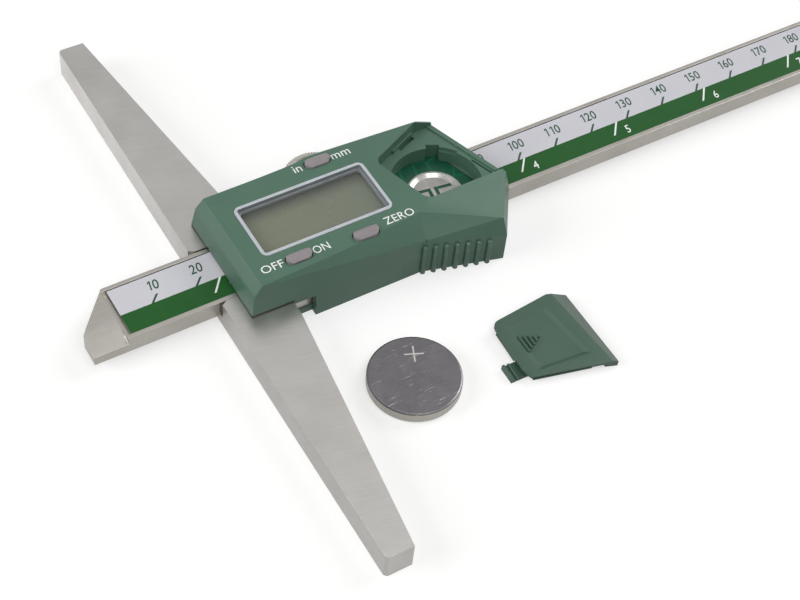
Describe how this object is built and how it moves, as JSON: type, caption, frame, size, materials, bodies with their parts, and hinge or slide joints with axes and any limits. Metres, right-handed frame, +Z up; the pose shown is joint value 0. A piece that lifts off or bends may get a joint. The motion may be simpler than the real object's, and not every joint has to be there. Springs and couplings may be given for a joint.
{
  "type": "digital depth caliper",
  "caption": "Digital depth caliper with a bridge base, graduated sliding beam, display housing with open battery well, battery cover and coin cell beside it.",
  "frame": {"origin": "on the plane of the base's measuring face, midway along the base, at the level of the surface that the tool lies on", "axes": "+X along the beam from its tip to its far end, +Y along the base toward the thumb roller's side, +Z up, away from the surface it lies on"},
  "size_m": [0.276, 0.152, 0.016],
  "materials": {
    "ground_steel": "fine ground, satin",
    "beam_steel": "fine ground, satin",
    "bronze": "dull",
    "dark_steel": "blackened",
    "grid_board": "glass-fibre laminate, satin",
    "label_film": "printed film, satin",
    "screw_steel": "plain",
    "green_plastic": "fine moulded texture",
    "green_plastic_back": "fine moulded texture",
    "green_plastic_cover": "fine moulded texture",
    "grey_plastic": "satin",
    "silver_bezel": "silver lacquer",
    "clear_window": "clear",
    "lcd_glass": "satin grey-green",
    "zebra_rubber": "matte",
    "circuit_board": "solder mask, gloss",
    "spring_steel": "bright",
    "contact_steel": "bright plated",
    "contact_gold": "bright plated",
    "button_plastic": "satin warm grey",
    "knurled_steel": "knurled",
    "cell_steel": "fine brushed"
  },
  "bodies": {
    "slider": {"measuring_base": "ground_steel", "gib_front": "bronze", "gib_rear": "bronze", "gib_screws": "dark_steel", "housing": "green_plastic", "back_cover": "green_plastic_back", "cover_screws": "screw_steel", "beam_wiper": "grey_plastic", "lcd_bezel": "silver_bezel", "lcd_window": "clear_window", "lcd_panel": "lcd_glass", "zebra_strips": "zebra_rubber", "main_board": "circuit_board", "board_screws": "screw_steel", "switch_domes": "spring_steel", "battery_dish": "contact_steel", "battery_clip": "contact_gold", "roller_pin": "screw_steel", "battery_cover": "green_plastic_cover", "coin_cell": "cell_steel"},
    "beam": {"beam": "beam_steel", "scale_grid": "grid_board", "scale_label": "label_film", "stop_screw": "screw_steel"},
    "button_power": {"button_power": "button_plastic"},
    "button_zero": {"button_zero": "button_plastic"},
    "button_units": {"button_units": "button_plastic"},
    "thumb_roller": {"thumb_roller": "knurled_steel"}
  },
  "joints": [
    {"name": "beam_slide", "type": "slide", "parent": "slider", "child": "beam", "axis": [1, 0, 0], "range_m": [-0.1716, 0.0284]},
    {"name": "roller_turn", "type": "hinge", "parent": "slider", "child": "thumb_roller", "pos_m": [0.0348, 0.01498, 0.0048], "axis": [0, 0, 1], "continuous": true},
    {"name": "power_press", "type": "slide", "parent": "slider", "child": "button_power", "axis": [0, 0, -1], "range_m": [0, 0.00035], "stiffness_N_per_m": 1500},
    {"name": "zero_press", "type": "slide", "parent": "slider", "child": "button_zero", "axis": [0, 0, -1], "range_m": [0, 0.00035], "stiffness_N_per_m": 1500},
    {"name": "units_press", "type": "slide", "parent": "slider", "child": "button_units", "axis": [0, 0, -1], "range_m": [0, 0.00035], "stiffness_N_per_m": 1500}
  ],
  "couplings": [
    {"joint": "roller_turn", "follows": "beam_slide", "rad_per_m": 129.87}
  ]
}
